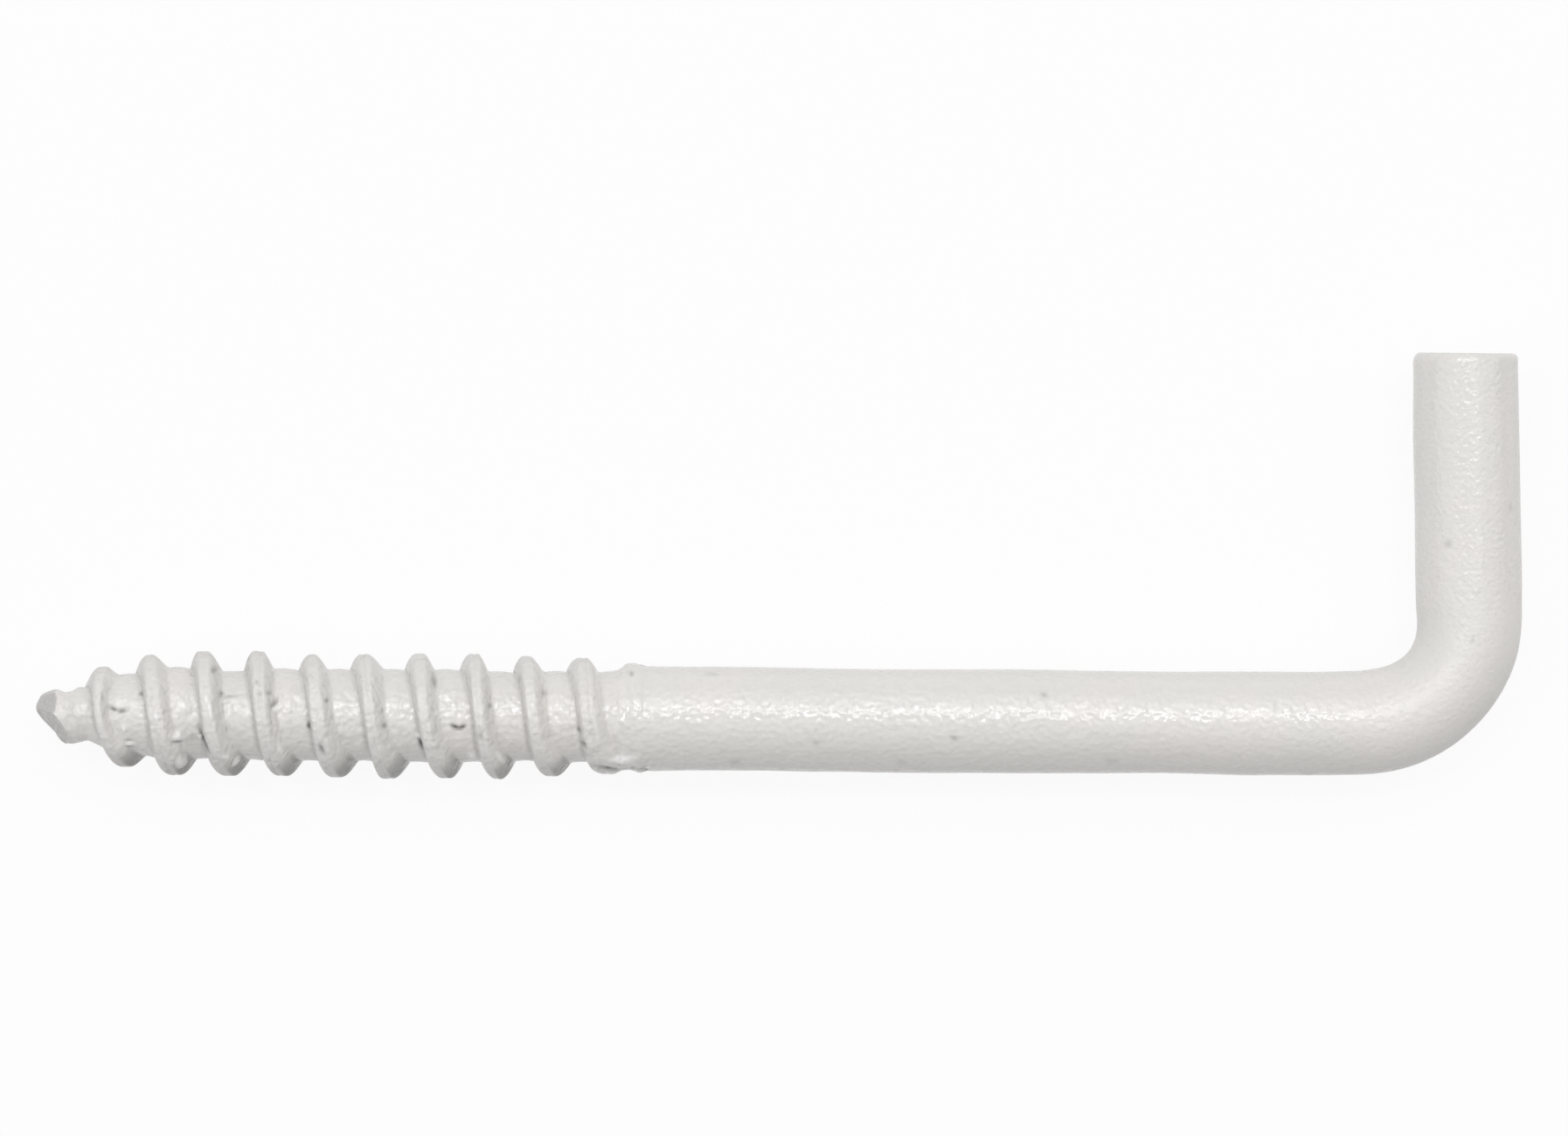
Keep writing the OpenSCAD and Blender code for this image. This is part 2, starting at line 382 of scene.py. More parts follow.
def wire_radius(s, angle):
    """Radius of the whole hook at a distance along the wire and an angle round it."""
    past = s - THREAD_L
    side = np.cos(angle)
    plain = MIDDLE_R + (curve(past, INNER_R) - MIDDLE_R) * np.clip(side, 0, 1) ** SIDE_POWER
    plain = plain + (curve(past, OUTER_R) - MIDDLE_R) * np.clip(-side, 0, 1) ** SIDE_POWER
    thread = thread_radius(np.minimum(s, THREAD_L), angle)
    thread = np.where(s < NOSE_L, nose_flats(s, angle, thread), thread)
    collar = curve(past, COLLAR) - WIRE_R + plain
    gentle = curve(past, COLLAR_TOP) - collar
    collar = collar + gentle * np.clip(np.sin(angle), 0, 1) ** 2 * (past < COLLAR_TOP_END)
    radius = soft_max(thread, collar, COLLAR_SOFTNESS)
    radius = np.where(past < COLLAR_START, thread, radius)
    return np.where(past > 0, collar, radius)


def wire_point(s, angle, radius):
    """Place in the hook's frame of a point at that distance, angle and radius."""
    turned = np.clip((s - SHANK_END) / BEND_R, 0, BEND_ANGLE)
    straight = np.minimum(s, SHANK_END) - THREAD_L
    beyond = np.maximum(s - BEND_END, 0)
    x = straight + BEND_R * np.sin(turned) + beyond * math.cos(BEND_ANGLE)
    y = BEND_R * (1 - np.cos(turned)) + beyond * math.sin(BEND_ANGLE)
    side = radius * np.cos(angle)
    y = y + curve(s, NOSE_SHIFT)
    z = radius * np.sin(angle) + curve(s, NOSE_DROP)
    return np.stack([x - side * np.sin(turned), y + side * np.cos(turned), z], axis=-1)


# ------------------------------------------------------------------- the paint's own relief

# Pits (below zero) and blobs in the paint of the side that shows: place along the screw and
# towards the arm, half length, half width, turn in degrees, height, and stain. The stain paints
# shade into pits and crevices, with some real dark specks, and below zero paints a glint on a
# pale blob.
BLEMISHES = [
    (-20.21, 0.89, 0.09, 0.09, 0, -0.065, 0.65),
    (-21.30, 0.26, 0.20, 0.08, -25, -0.091, 0.78),
    (-20.96, 0.18, 0.20, 0.08, 8, -0.091, 0.78),
    (-21.20, 0.68, 0.26, 0.23, 0, 0.035, 0.00),
    (-20.88, -0.54, 0.16, 0.06, 90, 0.045, -0.90),
    (-20.73, -1.12, 0.17, 0.10, 0, 0.060, -0.90),
    (-20.74, -1.26, 0.18, 0.06, 0, -0.039, 0.39),
    (-20.72, -1.00, 0.16, 0.05, 0, -0.039, 0.45),
    (-18.51, 0.45, 0.12, 0.12, 0, 0.045, -1.00),
    (-19.48, -0.04, 0.19, 0.07, -75, 0.038, -0.90),
    (-18.71, -0.82, 0.17, 0.15, 0, 0.135, -0.90),
    (-18.72, -1.02, 0.18, 0.07, 0, -0.065, 0.65),
    (-18.64, -1.81, 0.19, 0.12, -110, 0.075, -0.90),
    (-17.63, -0.99, 0.51, 0.08, -65, -0.117, 0.95),
    (-17.79, -0.83, 0.08, 0.08, 0, 0.045, -0.90),
    (-18.05, -0.92, 0.36, 0.20, 0, -0.013, 0.20),
    (-17.49, 0.69, 0.16, 0.05, -80, 0.038, -0.90),
    (-17.36, 0.41, 0.16, 0.05, -80, 0.038, -0.90),
    (-17.30, 0.10, 0.16, 0.05, -80, 0.038, -0.90),
    (-17.31, 1.86, 0.12, 0.10, 90, -0.065, 0.59),
    (-16.72, 1.37, 0.28, 0.25, 0, 0.030, 0.00),
    (-16.99, 0.92, 0.08, 0.08, 0, -0.065, 0.65),
    (-16.66, 0.82, 0.34, 0.06, 7, -0.065, 0.45),
    (-16.65, 0.63, 0.30, 0.07, 10, 0.035, 0.00),
    (-16.06, 2.32, 0.10, 0.07, 90, -0.052, 0.45),
    (-16.00, 1.87, 0.10, 0.07, 90, -0.052, 0.45),
    (-15.51, 1.41, 0.07, 0.07, 0, -0.039, 0.39),
    (-15.04, 0.96, 0.08, 0.08, 0, -0.039, 0.52),
    (-15.38, 0.93, 0.07, 0.07, 0, -0.039, 0.39),
    (-14.84, 0.54, 0.22, 0.08, 58, -0.078, 0.65),
    (-14.79, 0.30, 0.10, 0.08, 60, 0.045, -0.90),
    (-13.43, -0.36, 0.14, 0.09, 90, -0.091, 0.91),
    (-12.72, 0.68, 0.08, 0.09, 0, -0.065, 0.59),
    (-12.38, 0.45, 0.09, 0.08, 0, 0.030, -0.90),
    (-12.16, 0.48, 0.09, 0.08, 0, 0.030, -0.90),
    (-11.72, 0.47, 0.10, 0.08, 0, 0.038, -0.90),
    (-12.90, -1.28, 0.22, 0.08, -70, -0.078, 0.65),
    (-14.62, -1.23, 0.19, 0.08, -75, 0.060, -0.90),
    (-16.74, -1.63, 0.12, 0.08, 0, 0.060, -0.90),
    (-16.43, -1.79, 0.16, 0.06, 60, 0.045, -0.90),
    (-10.42, -0.32, 0.12, 0.09, 90, -0.078, 0.65),
    (-10.05, 0.46, 0.16, 0.12, 0, 0.045, -0.90),
    (-9.55, 0.46, 0.14, 0.10, 0, 0.045, -0.90),
    (-7.60, -0.36, 0.17, 0.08, -25, -0.104, 0.91),
    (-7.31, -0.36, 0.17, 0.08, 25, -0.104, 0.91),
    (-7.46, -0.46, 0.16, 0.07, 0, -0.078, 0.78),
    (-9.06, -0.73, 0.10, 0.08, 0, 0.045, -0.90),
    (-8.97, -1.04, 0.24, 0.08, -72, -0.117, 0.91),
    (-8.48, 1.46, 0.24, 0.08, -80, -0.065, 0.59),
    (-6.21, 0.52, 0.09, 0.10, 0, -0.065, 0.52),
    (-5.97, 0.53, 0.16, 0.06, 85, 0.045, -0.90),
    (-6.54, -0.71, 0.16, 0.12, 90, -0.039, 0.33),
    (-5.83, -1.53, 0.19, 0.08, -60, 0.075, -0.90),
    (-6.92, -1.50, 0.16, 0.12, 0, 0.075, -0.90),
    (-6.25, -1.15, 0.28, 0.05, -65, 0.030, 0.00),
    (-5.50, 0.53, 0.09, 0.08, 0, 0.030, -0.90),
    (-5.16, 0.38, 0.12, 0.10, 0, 0.045, -0.90),
    (-4.49, 0.54, 0.10, 0.07, 90, 0.030, -0.90),
    (-3.78, 0.39, 0.14, 0.08, 90, 0.045, -0.90),
    (-3.38, 0.39, 0.12, 0.08, 90, 0.045, -0.90),
    (-3.13, 0.24, 0.12, 0.08, -30, 0.045, -0.90),
    (-1.57, 0.44, 0.17, 0.08, 50, 0.045, -0.90),
    (-2.64, -0.43, 0.11, 0.07, -70, -0.065, 0.65),
    (-2.46, -0.99, 0.12, 0.09, -60, -0.078, 0.78),
    (-4.04, 1.02, 0.10, 0.11, 0, -0.039, 0.39),
    (-5.09, 1.56, 0.09, 0.07, 90, -0.052, 0.52),
    (-0.60, 1.84, 0.10, 0.11, 0, -0.052, 0.45),
    (-0.96, -1.62, 0.47, 0.14, -3, 0.150, -1.00),
    (-1.47, -2.02, 0.51, 0.08, -12, -0.078, 0.80),
    (-0.72, -2.05, 0.36, 0.08, 5, -0.065, 0.75),
    (-0.05, -2.10, 0.17, 0.13, -30, -0.104, 1.00),
    (15.92, 1.12, 0.12, 0.11, 0, -0.026, 0.36),
    (12.31, -0.65, 0.11, 0.11, 0, -0.026, 0.36),
    (6.87, -0.90, 0.16, 0.11, -20, -0.026, 0.26),
    (3.59, -1.72, 0.20, 0.11, 0, -0.026, 0.26),
    (10.28, -1.67, 0.20, 0.11, 0, -0.019, 0.20),
    (18.69, -1.55, 0.12, 0.12, 0, -0.026, 0.39),
    (2.63, 1.84, 0.16, 0.08, 0, -0.026, 0.26),
    (32.03, 7.31, 0.16, 0.11, 10, -0.026, 0.33),
    (34.57, 8.81, 0.10, 0.12, 0, -0.026, 0.26),
    (32.98, 3.39, 0.09, 0.10, 0, -0.026, 0.33),
    (26.63, -1.99, 0.14, 0.07, 0, 0.040, 0.20),
    (-7.92, 0.83, 0.06, 0.05, 83, 0.022, -0.55),
    (-8.17, 0.06, 0.06, 0.05, 12, 0.022, -0.55),
    (-7.89, 0.94, 0.06, 0.05, 64, 0.022, -0.55),
    (-8.03, 0.91, 0.06, 0.05, 53, 0.022, -0.55),
    (-8.17, 0.90, 0.06, 0.05, 54, 0.022, -0.55),
    (-8.17, 0.36, 0.06, 0.05, 28, 0.022, -0.55),
    (-7.61, 0.34, 0.06, 0.05, 7, 0.022, -0.55),
    (-7.67, 0.55, 0.06, 0.05, 28, 0.022, -0.55),
    (-8.17, 0.02, 0.06, 0.05, 37, 0.022, -0.55),
    (-7.82, 0.39, 0.06, 0.05, 73, 0.022, -0.55),
    (-7.92, 0.07, 0.06, 0.05, 23, 0.022, -0.55),
    (-8.12, 0.35, 0.06, 0.05, 24, 0.022, -0.55),
    (-7.86, 0.38, 0.06, 0.05, 8, 0.022, -0.55),
    (-7.67, 0.30, 0.06, 0.05, 63, 0.022, -0.55),
    (-6.76, 0.36, 0.05, 0.05, 0, 0.020, -0.40),
    (-6.65, 0.15, 0.05, 0.05, 0, 0.020, -0.40),
    (-6.51, 0.25, 0.05, 0.05, 0, 0.020, -0.40),
    (-6.90, 0.56, 0.05, 0.05, 0, 0.020, -0.40),
]

# Scattered ones on the side that doesn't show: how many and their seed; the bounds of their place,
# half length, width as a share of that, turn and stain; and the heights they may have.
FAR_BLEMISHES, FAR_SEED = 24, 41
FAR_X, FAR_Y = (-22, 28), (-1.7, 1.7)
FAR_SIZE, FAR_SLIMNESS = (0.08, 0.2), (0.4, 1)
FAR_TURN, FAR_STAIN = (0, 180), (0, 0.4)
FAR_RISES = [-0.04, -0.03, 0.03]

# Lumps in the paint: their size, their height, and a seed. They are higher on the thread by this
# share, which fades out over the stretch about its end.
LUMPS = [(2.4, 0.010, 1), (0.9, 0.006, 2), (0.38, 0.0035, 3)]
THREAD_THICK = 0.8
THICK_STRETCH = (THREAD_L - 1, THREAD_L + 0.5)

# Where the wire is thinner than this radius, relief is lower.
FULL_RELIEF_R = 0.8


def blemishes(points):
    """Height of the pits and blobs at n x 3 points, with their painted shade, stains and painted
    glints; the far side has scattered ones.
    """
    draw = np.random.default_rng(FAR_SEED)
    rows = [row + (1,) for row in BLEMISHES]
    for _ in range(FAR_BLEMISHES):
        size = draw.uniform(*FAR_SIZE)
        rows.append((
            draw.uniform(*FAR_X), draw.uniform(*FAR_Y), size, size * draw.uniform(*FAR_SLIMNESS),
            draw.uniform(*FAR_TURN), draw.choice(FAR_RISES), draw.uniform(*FAR_STAIN), -1,
        ))
    height, stain_shade_glint = np.zeros(len(points)), np.zeros(len(points))
    for x, y, length, width, turn, rise, dark, side in rows:
        dx, dy = points[:, 0] - x, points[:, 1] - y
        c, s = math.cos(math.radians(turn)), math.sin(math.radians(turn))
        along, across = (dx * c + dy * s) / length, (dy * c - dx * s) / width
        near = np.exp(-(along**2) - across**2) * (points[:, 2] * side > 0)
        height += rise * near
        stain_shade_glint = np.where(abs(dark * near) > abs(stain_shade_glint), dark * near, stain_shade_glint)
    return height, stain_shade_glint


def paint_lumps(points, s):
    """How far the paint stands out, in lumps of several sizes; it lies thicker on the thread."""
    thick = 1 + THREAD_THICK * (1 - grow(s, *THICK_STRETCH))
    return thick * sum(rise * lump_noise(points, cell, seed) for cell, rise, seed in LUMPS)


# ---------------------------------------------------------------------------- rings of points

# Points round the upper half of the wire, which shows, and round the lower half.
NEAR_STEPS, FAR_STEPS = 96, 40

# Distance from ring to ring: it grows over the rounding of the nose, is even along the thread and
# a little past it, and is wider along the plain wire.
NOSE_ROUND_L, NOSE_RINGS = 1.2, 30
THREAD_STEP, THREAD_PAST = 0.052, 0.6
PLAIN_STEP = 0.24

# Worn edge round the cut end, towards the crook and on the outside: along the wire, across it.
END_DROP, END_INSET = 0.42, 0.28
END_DROP_OUT, END_INSET_OUT = 0.24, 0.22

# How far the cut face falls back on top, and how much further it stands out on the side of the
# crook than in its middle.
END_LEAN, END_SKEW = 0.09, 0.04

# How far before the end the wire's own radius is taken, how many rings lie over the worn edge, and
# the rings on the cut face as shares of its radius.
RIM_BEFORE_END = 1
EDGE_RINGS = 8
FACE_RINGS = (0.86, 0.7, 0.54, 0.38, 0.22, 0.08)


def stations():
    """Distances along the wire, one a ring, closer together where the shape is finer."""
    nose = NOSE_ROUND_L * (1 - np.cos(np.linspace(0, math.pi / 2, NOSE_RINGS)))[1:]
    thread = np.arange(nose[-1] + THREAD_STEP, THREAD_L + THREAD_PAST, THREAD_STEP)
    plain = np.arange(thread[-1] + PLAIN_STEP, WIRE_END - END_DROP, PLAIN_STEP)
    return np.concatenate([nose, thread, plain])


def end_rings(angles):
    """Distances and radii of the rings round the cut end: its worn edge, then its face."""
    rim = wire_radius(np.full(len(angles), WIRE_END - RIM_BEFORE_END), angles)
    inside = (1 + np.cos(angles)) / 2
    drop = END_DROP_OUT + (END_DROP - END_DROP_OUT) * inside
    inset = END_INSET_OUT + (END_INSET - END_INSET_OUT) * inside
    lean = END_LEAN * np.maximum(np.sin(angles), 0) - END_SKEW * np.cos(angles)
    distances, radii = [], []
    for turn in np.linspace(0, math.pi / 2, EDGE_RINGS):
        distances.append(WIRE_END - lean - drop * (1 - math.sin(turn)))
        radii.append(rim - inset * (1 - math.cos(turn)))
    for share in FACE_RINGS:
        distances.append(WIRE_END - lean * share)
        radii.append((rim - inset) * share)
    return np.array(distances), np.array(radii)


# -------------------------------------------------------------------- painted shade, ring by ring

# Height over the core at which the ridge counts as full.
RIDGE_FULL = 0.45

# Slopes are taken across this many rings either way. The first rings are too close to the tip.
SLOPE_RINGS = 3
TIP_RINGS = 8

# How dark the shade painted on the sheltered flanks of the ridge is. It comes in as the radius
# falls by this much across those rings, and as the skin faces this far away from the arm's side.
FLANK_SHADE_STRENGTH = 0.6
FLANK_SHADE_FALL, FLANK_SHADE_FACING = (0.03, 0.2), (0.7, 1.0)

# Shade is painted into creases. A crease is where the skin lies under its own mean over so many
# rings either way, weighted by a bell of this half width. It starts at the least depth and is full
# at CREASE_DEPTH more.
CREASE_REACH, CREASE_BELL = 5, 2.2
CREASE_LEAST, CREASE_DEPTH = 0.004, 0.05

# It shows in full where the radius grows towards the hook and on the top of the ridge, which come
# in over these spans, and by the last share elsewhere.
CREASE_RISE, CREASE_TOP, CREASE_ELSEWHERE = (-0.05, 0.05), (0.7, 0.9), 0.25

# A blob with a stain below this is a painted glint, and no painted shade covers it.
GLINT_BELOW = -0.05


def flank_shading(radius, angle, rows):
    """Painted shade on the flanks that face down the picture and away from the tip."""
    fall = np.roll(radius, SLOPE_RINGS, axis=0) - np.roll(radius, -SLOPE_RINGS, axis=0)
    stain_shade_glint = FLANK_SHADE_STRENGTH * grow(fall, *FLANK_SHADE_FALL) * grow(-np.cos(angle), *FLANK_SHADE_FACING)
    stain_shade_glint[:TIP_RINGS] = 0
    stain_shade_glint[rows:] = 0
    return stain_shade_glint


def crease_shading(radius, ridge, rows):
    """How far each point of the thread lies in a crease, from 0 to 1.

    The shade painted in the crease is stronger on the side of a ridge towards the tip and in the
    seam on its top.
    """
    reach = range(-CREASE_REACH, CREASE_REACH + 1)
    share = [math.exp(-0.5 * (k / CREASE_BELL) ** 2) for k in reach]
    around = sum(w * np.roll(radius, k, axis=0) for w, k in zip(share, reach)) / sum(share)
    rise = np.roll(radius, -SLOPE_RINGS, axis=0) - np.roll(radius, SLOPE_RINGS, axis=0)
    thin = np.maximum(grow(rise, *CREASE_RISE), grow(ridge, *CREASE_TOP))
    shown = CREASE_ELSEWHERE + (1 - CREASE_ELSEWHERE) * thin
    depth = (around - radius - CREASE_LEAST) / CREASE_DEPTH * shown
    depth[:TIP_RINGS] = 0
    depth[rows:] = 0
    return np.clip(depth, 0, 1)


# ---------------------------------------------------------------------- the painted hook

# How lumpy and glossy the paint is, by distance from the tip: less and less towards the arm's end.
COAT = [(27, 1.0), (36, 0.9), (46, 0.75), (54, 0.5), (60, 0.32), (66, 0.27)]

# The same round the wire, from the outside of the hook at -1 to the crook at 1.
COAT_SIDE = [
    (-1, 1.2), (-0.8, 1), (-0.55, 0.62), (-0.3, 0.62), (-0.05, 1), (0.45, 1.05), (0.75, 0.75),
    (1, 0.7),
]

# How much rougher the paint is along the wire: it is dullest in the bend.
ALONG_DULL = [(51.5, 0.0), (56.5, 0.24), (60, 0.22), (64, 0.05)]

# How gritty the paint is on the ridge, and how fast it turns gritty as it turns less lumpy.
RIDGE_GRIT, THIN_GRIT = 0.8, 1.6


def skin_faces(rows, n):
    """Quads between neighbouring rings, and a fan of triangles at each end."""
    i = np.repeat(np.arange(rows - 1), n)
    j = np.tile(np.arange(n), rows - 1)
    k = (j + 1) % n
    quads = np.stack([i * n + j, i * n + k, (i + 1) * n + k, (i + 1) * n + j], axis=-1)
    ring = np.arange(n)
    after = (ring + 1) % n
    last = (rows - 1) * n
    tip_fan = np.stack([np.full(n, rows * n), after, ring], axis=-1)
    end_fan = np.stack([np.full(n, rows * n + 1), last + ring, last + after], axis=-1)
    return quads.tolist() + tip_fan.tolist() + end_fan.tolist()


def make_hook():
    """One closed skin: rings along the wire from the tip to the cut end."""
    near = np.arange(NEAR_STEPS) / NEAR_STEPS * math.pi
    far = math.pi + np.arange(FAR_STEPS) / FAR_STEPS * math.pi
    angles = np.concatenate([near, far])
    s, angle = np.meshgrid(stations(), angles, indexing="ij")
    shape = s.shape
    radius = wire_radius(s.ravel(), angle.ravel()).reshape(shape)
    thread_rows = int(np.argmin(abs(s[:, 0] - THREAD_L + COLLAR_LENGTH)))
    ridge = np.clip((radius - curve(s.ravel(), CORE).reshape(shape)) / RIDGE_FULL, 0, 1)
    ridge[thread_rows:] = 0
    # Shade to paint into the creases and onto the sheltered flanks.
    crease_shade = crease_shading(radius, ridge, thread_rows)
    flank_shade = flank_shading(radius, angle, thread_rows)

    end_s, end_radius = end_rings(angles)
    s = np.concatenate([s, end_s])
    radius = np.concatenate([radius, end_radius])
    clean = np.zeros(end_s.shape)
    crease_shade, flank_shade, ridge = (
        np.concatenate([values, clean]).ravel() for values in (crease_shade, flank_shade, ridge)
    )
    rows, n = s.shape
    angle = np.tile(angles, rows)
    s, radius = s.ravel(), radius.ravel()

    bare = wire_point(s, angle, radius)
    height, stain_shade_glint = blemishes(bare)
    # Painted shade on the nose's flats and the ridge's flanks, kept off the painted glints.
    painted_shade = np.maximum(nose_shade(s, angle), flank_shade)
    stain_shade_glint = np.where(stain_shade_glint < GLINT_BELOW, stain_shade_glint, np.maximum(stain_shade_glint, painted_shade))
    lumps = paint_lumps(bare, s)
    radius = radius + (height + lumps) * np.clip(radius / FULL_RELIEF_R, 0, 1)
    points = wire_point(s, angle, radius)
    tip, end = points[:n].mean(axis=0), points[-n:].mean(axis=0)
    tip[0] = -THREAD_L
    vertices = np.concatenate([points, [tip, end]])

    mesh = bpy.data.meshes.new("painted_hook")
    mesh.from_pydata((vertices * MM).tolist(), [], skin_faces(rows, n))
    mesh.polygons.foreach_set("use_smooth", [True] * len(mesh.polygons))
    coat = curve(s, COAT)
    # The mesh carries the shade painted into creases, pits, flanks and the nose, the real stains,
    # and the painted glints.
    layers = {
        "crease_shade": crease_shade,
        "stain_shade_glint": stain_shade_glint,
        "painted_glint": -stain_shade_glint,
        "ridge": ridge,
        "coat": coat * curve(np.cos(angle), COAT_SIDE),
        "dull": curve(s, ALONG_DULL),
        "grit": np.maximum(RIDGE_GRIT * ridge, np.minimum(THIN_GRIT * (1 - coat), 1)),
    }
    for name, values in layers.items():
        layer = mesh.attributes.new(name, "FLOAT", "POINT")
        values = np.append(np.maximum(values, 0), [0, 0])
        layer.data.foreach_set("value", values.astype(np.float32))
    mesh.update()
    piece = bpy.data.objects.new("painted_hook", mesh)
    bpy.context.scene.collection.objects.link(piece)
    return piece


hook = make_hook()


# ------------------------------------------------------------------------ building with nodes
#
# These helpers take and give sockets, apart from plain numbers and colours.

def noise(tree, place, size_mm, detail):
    """Noise of about that size, in the hook's own frame."""
    node = tree.nodes.new("ShaderNodeTexNoise")
    node.inputs["Scale"].default_value = 1 / (size_mm * MM)
    node.inputs["Detail"].default_value = detail
    tree.links.new(place, node.inputs["Vector"])
    return node.outputs[0]


def spread(tree, source, span, low, high):
    """Maps a span of values on to the range from low to high, held at its ends."""
    node = tree.nodes.new("ShaderNodeMapRange")
    node.inputs["From Min"].default_value = span[0]
    node.inputs["From Max"].default_value = span[1]
    node.inputs["To Min"].default_value = low
    node.inputs["To Max"].default_value = high
    tree.links.new(source, node.inputs["Value"])
    return node.outputs[0]


def tint(tree, below, amount, color):
    """Lays a colour over another by an amount; below is a socket or a plain colour."""
    node = tree.nodes.new("ShaderNodeMix")
    node.data_type = "RGBA"
    if isinstance(below, tuple):
        node.inputs[6].default_value = below
    else:
        tree.links.new(below, node.inputs[6])
    node.inputs[7].default_value = color
    tree.links.new(amount, node.inputs["Factor"])
    return node.outputs[2]


def bump(tree, height, height_mm, under=None):
    """Normal bumped by a height, on top of another bump."""
    node = tree.nodes.new("ShaderNodeBump")
    node.inputs["Strength"].default_value = 1.0
    node.inputs["Distance"].default_value = height_mm * MM
    tree.links.new(height, node.inputs["Height"])
    if under:
        tree.links.new(under, node.inputs["Normal"])
    return node.outputs[0]


def attribute(tree, name):
    """Value that the mesh carries under that name."""
    node = tree.nodes.new("ShaderNodeAttribute")
    node.attribute_name = name
    return node.outputs["Fac"]


def calculate(tree, operation, first, second):
    """Result of an operation on a socket and a second socket or number."""
    node = tree.nodes.new("ShaderNodeMath")
    node.operation = operation
    tree.links.new(first, node.inputs[0])
    if isinstance(second, float):
        node.inputs[1].default_value = second
    else:
        tree.links.new(second, node.inputs[1])
    return node.outputs[0]


# ------------------------------------------------------------------------------- the paint

PAINT = (0.778, 0.752, 0.728, 1.0)
PAINT_COOL = (0.757, 0.748, 0.722, 1.0)
PAINT_DULL = (0.66, 0.65, 0.635, 1.0)
# Near white painted on pale blobs as glints.
PAINTED_GLINT = (0.97, 0.97, 0.96, 1.0)
# Dark grey painted into creases, pits, flanks and the nose as shade, and for the real dark specks.
SHADE_AND_STAIN_DARK = (0.12, 0.12, 0.117, 1.0)
PAINT_IOR = 1.5

# Cool patches and dull grains in the colour: their size, the span of the noise over which they
# come in, and their strength. Then the ridge's dull top, by its height, and the strength of the
# shade painted into creases.
PATCH_SIZE, PATCH_SPAN, PATCH_TINT = 4.5, (0.4, 0.6), 1.0
GRAIN_SIZE, GRAIN_SPAN, GRAIN_TINT = 0.25, (0.5, 0.8), 0.3
RIDGE_SPAN, RIDGE_TINT = (0.5, 0.95), 0.26
CREASE_SHADE_TINT = 0.14
TINT_DETAIL = 2.0

# Roughness, over the span of the lumps' noise. Then how much rougher the paint is on the ridge, by
# its height, and on the first turns, by the place along the screw in metres.
ROUGH_SPAN, ROUGH_LOW, ROUGH_HIGH = (0.3, 0.7), 0.09, 0.19
RIDGE_DULL_SPAN, RIDGE_DULL = (0.2, 0.8), 0.24
TIP_SPAN, TIP_DULL = (-0.010, -0.019), 0.14

# Bumps in the paint: their size and height, and how much finer noise they hold. The thread's own
# lumps, which share LUMP_DETAIL, come in over its end, by the place along the screw in metres.
FINE_SIZE, FINE_HEIGHT, FINE_DETAIL = 0.24, 0.058, 0.3
LUMP_SIZE, LUMP_HEIGHT, LUMP_DETAIL = 0.45, 0.036, 1.5
THREAD_LUMP_SIZE, THREAD_LUMP_HEIGHT = 0.42, 0.085
GRIT_SIZE, GRIT_HEIGHT, GRIT_DETAIL = 0.19, 0.034, 1.0
THREAD_SPAN = (0.0005, -0.0015)


def paint_color(tree, place):
    """A warm white, with cool patches, dull grains and ridges, painted shade in creases, pits,
    flanks and the nose, and painted glints on pale blobs.
    """
    patches = noise(tree, place, PATCH_SIZE, TINT_DETAIL)
    grain = noise(tree, place, GRAIN_SIZE, TINT_DETAIL)
    ridge = attribute(tree, "ridge")
    crease_shade = attribute(tree, "crease_shade")
    color = tint(tree, PAINT, spread(tree, patches, PATCH_SPAN, 0.0, PATCH_TINT), PAINT_COOL)
    color = tint(tree, color, spread(tree, grain, GRAIN_SPAN, 0.0, GRAIN_TINT), PAINT_DULL)
    color = tint(tree, color, spread(tree, ridge, RIDGE_SPAN, 0.0, RIDGE_TINT), PAINT_DULL)
    # Shade painted into creases, then the painted shade, stains and painted glints that the mesh
    # carries.
    color = tint(tree, color, spread(tree, crease_shade, (0.0, 1.0), 0.0, CREASE_SHADE_TINT), SHADE_AND_STAIN_DARK)
    color = tint(tree, color, attribute(tree, "stain_shade_glint"), SHADE_AND_STAIN_DARK)
    return tint(tree, color, attribute(tree, "painted_glint"), PAINTED_GLINT)


def paint_roughness(tree, x, lumps):
    """Gloss that varies with the lumps, and is duller on the ridge, at the tip and in the bend."""
    rough = spread(tree, lumps, ROUGH_SPAN, ROUGH_LOW, ROUGH_HIGH)
    for dull in (
        spread(tree, attribute(tree, "ridge"), RIDGE_DULL_SPAN, 0.0, RIDGE_DULL),
        spread(tree, x, TIP_SPAN, 0.0, TIP_DULL),
        attribute(tree, "dull"),
    ):
        rough = calculate(tree, "ADD", rough, dull)
    return rough


def paint_bumps(tree, place, x, lumps):
    """Lumps, fine orange peel that shows where the paint is thick, and grit where it is thin."""
    coat = attribute(tree, "coat")
    on_thread = spread(tree, x, THREAD_SPAN, 0.0, 1.0)
    fine = noise(tree, place, FINE_SIZE, FINE_DETAIL)
    thread_lumps = noise(tree, place, THREAD_LUMP_SIZE, LUMP_DETAIL)
    grit = noise(tree, place, GRIT_SIZE, GRIT_DETAIL)
    surface = None
    for source, share, height in (
        (lumps, coat, LUMP_HEIGHT),
        (thread_lumps, on_thread, THREAD_LUMP_HEIGHT),
        (fine, coat, FINE_HEIGHT),
        (grit, attribute(tree, "grit"), GRIT_HEIGHT),
    ):
        surface = bump(tree, calculate(tree, "MULTIPLY", source, share), height, surface)
    return surface


